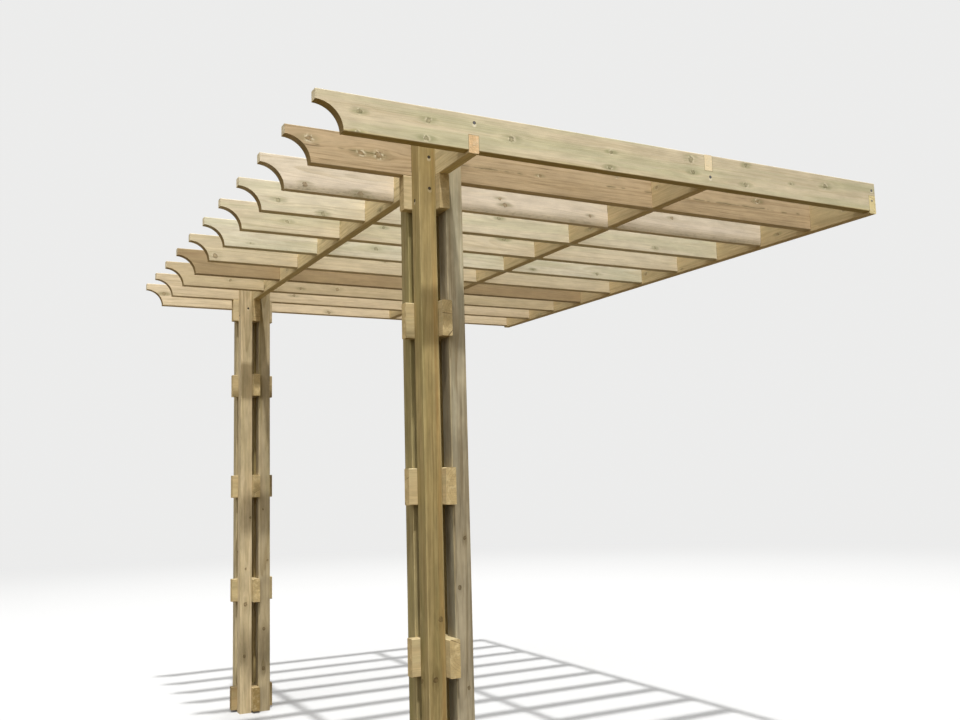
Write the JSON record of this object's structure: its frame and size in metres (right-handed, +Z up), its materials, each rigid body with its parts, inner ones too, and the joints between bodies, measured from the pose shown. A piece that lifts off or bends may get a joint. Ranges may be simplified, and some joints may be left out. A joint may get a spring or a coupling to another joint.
{
  "type": "wall-mounted timber pergola",
  "caption": "Lean-to timber pergola: rafters with hollow-curved tails half-lapped to cross beams, on open built-up posts, held to a wall at the back.",
  "frame": {"origin": "middle of the wall beam's back face, where the frame meets the wall", "axes": "+X along the rafters from the garden towards the wall, +Y along the beams to the left as seen from the garden, +Z up"},
  "size_m": [2.86, 3.66, 2.825],
  "materials": {
    "rafter": "planed, pressure-treated softwood, pale with green tints",
    "beam": "planed, pressure-treated softwood",
    "post": "planed, pressure-treated softwood, golden olive",
    "spacer": "planed, pressure-treated softwood with sawn ends"
  },
  "bodies": {
    "root": {"rafter_01": "rafter", "rafter_02": "rafter", "rafter_03": "rafter", "rafter_04": "rafter", "rafter_05": "rafter", "rafter_06": "rafter", "rafter_07": "rafter", "rafter_08": "rafter", "rafter_09": "rafter", "rafter_10": "rafter", "rafter_11": "rafter", "front_beam": "beam", "middle_beam": "beam", "wall_beam": "beam", "right_post_garden_outer": "post", "right_post_garden_inner": "post", "right_post_house_outer": "post", "right_post_house_inner": "post", "right_post_foot_tie": "spacer", "right_post_foot_cross": "spacer", "right_post_lower_tie": "spacer", "right_post_lower_cross": "spacer", "right_post_middle_tie": "spacer", "right_post_middle_cross": "spacer", "right_post_upper_tie": "spacer", "right_post_upper_cross": "spacer", "right_post_head_tie": "spacer", "right_post_head_cross": "spacer", "left_post_garden_outer": "post", "left_post_garden_inner": "post", "left_post_house_outer": "post", "left_post_house_inner": "post", "left_post_foot_tie": "spacer", "left_post_foot_cross": "spacer", "left_post_lower_tie": "spacer", "left_post_lower_cross": "spacer", "left_post_middle_tie": "spacer", "left_post_middle_cross": "spacer", "left_post_upper_tie": "spacer", "left_post_upper_cross": "spacer", "left_post_head_tie": "spacer", "left_post_head_cross": "spacer"}
  },
  "joints": []
}
